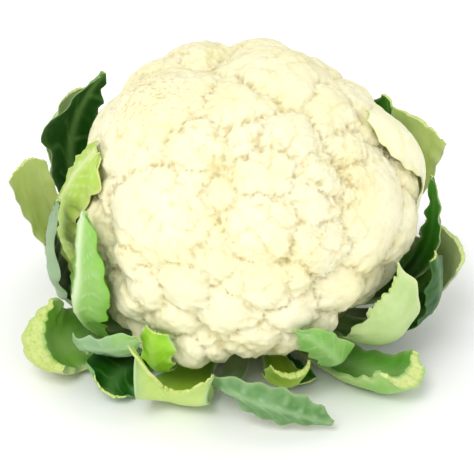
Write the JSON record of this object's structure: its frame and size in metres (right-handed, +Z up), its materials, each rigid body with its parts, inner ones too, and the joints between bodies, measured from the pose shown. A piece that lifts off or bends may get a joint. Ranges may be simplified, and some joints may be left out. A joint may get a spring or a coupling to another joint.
{
  "type": "cauliflower",
  "caption": "Trimmed cauliflower head: domed cream curd of packed florets in a ring of cut and curled green leaves, resting on its cut stem.",
  "frame": {"origin": "on the surface it rests on, under the middle of the head's box", "axes": "+Z up; the head's front, toward which its axis leans, faces -Y; +X runs to the front view's right"},
  "size_m": [0.23, 0.2168, 0.1571],
  "materials": {
    "curd": "dry, finely granular, cream",
    "stem": "moist fibrous cut, pale green",
    "leaf_front_left_petiole": "waxy leaf skin, pale ribs and veins",
    "leaf_front_draped": "waxy leaf skin, pale ribs and veins",
    "leaf_front_stub": "waxy leaf skin, pale ribs and veins",
    "leaf_front_right_petiole": "waxy leaf skin, pale ribs and veins",
    "leaf_left_petiole": "waxy leaf skin, pale ribs and veins",
    "leaf_low_left": "waxy leaf skin, pale ribs and veins",
    "leaf_left_strap": "waxy leaf skin, pale ribs and veins",
    "leaf_left_curved": "waxy leaf skin, pale ribs and veins",
    "leaf_left_rolled": "waxy leaf skin, pale ribs and veins",
    "leaf_left_cut": "waxy leaf skin, pale ribs and veins",
    "leaf_left_young": "waxy leaf skin, pale ribs and veins",
    "leaf_left_dark": "waxy leaf skin, pale ribs and veins",
    "leaf_back_left_pale": "waxy leaf skin, pale ribs and veins",
    "leaf_right_cup": "waxy leaf skin, pale ribs and veins",
    "leaf_right_small": "waxy leaf skin, pale ribs and veins",
    "leaf_front_fan": "waxy leaf skin, pale ribs and veins",
    "leaf_right_dark": "waxy leaf skin, pale ribs and veins",
    "leaf_right_scoop": "waxy leaf skin, pale ribs and veins",
    "leaf_right_thin": "waxy leaf skin, pale ribs and veins",
    "leaf_right_cut": "waxy leaf skin, pale ribs and veins",
    "leaf_right_folded": "waxy leaf skin, pale ribs and veins",
    "leaf_right_young": "waxy leaf skin, pale ribs and veins",
    "leaf_back_tall": "waxy leaf skin, pale ribs and veins",
    "leaf_back_outer": "waxy leaf skin, pale ribs and veins",
    "leaf_back_right": "waxy leaf skin, pale ribs and veins",
    "leaf_back_inner": "waxy leaf skin, pale ribs and veins",
    "leaf_under_right": "waxy leaf skin, pale ribs and veins"
  },
  "bodies": {
    "root": {"curd": "curd", "stem": "stem", "leaf_front_left_petiole": "leaf_front_left_petiole", "leaf_front_draped": "leaf_front_draped", "leaf_front_stub": "leaf_front_stub", "leaf_front_right_petiole": "leaf_front_right_petiole", "leaf_left_petiole": "leaf_left_petiole", "leaf_low_left": "leaf_low_left", "leaf_left_strap": "leaf_left_strap", "leaf_left_curved": "leaf_left_curved", "leaf_left_rolled": "leaf_left_rolled", "leaf_left_cut": "leaf_left_cut", "leaf_left_young": "leaf_left_young", "leaf_left_dark": "leaf_left_dark", "leaf_back_left_pale": "leaf_back_left_pale", "leaf_right_cup": "leaf_right_cup", "leaf_right_small": "leaf_right_small", "leaf_front_fan": "leaf_front_fan", "leaf_right_dark": "leaf_right_dark", "leaf_right_scoop": "leaf_right_scoop", "leaf_right_thin": "leaf_right_thin", "leaf_right_cut": "leaf_right_cut", "leaf_right_folded": "leaf_right_folded", "leaf_right_young": "leaf_right_young", "leaf_back_tall": "leaf_back_tall", "leaf_back_outer": "leaf_back_outer", "leaf_back_right": "leaf_back_right", "leaf_back_inner": "leaf_back_inner", "leaf_under_right": "leaf_under_right"}
  },
  "joints": []
}
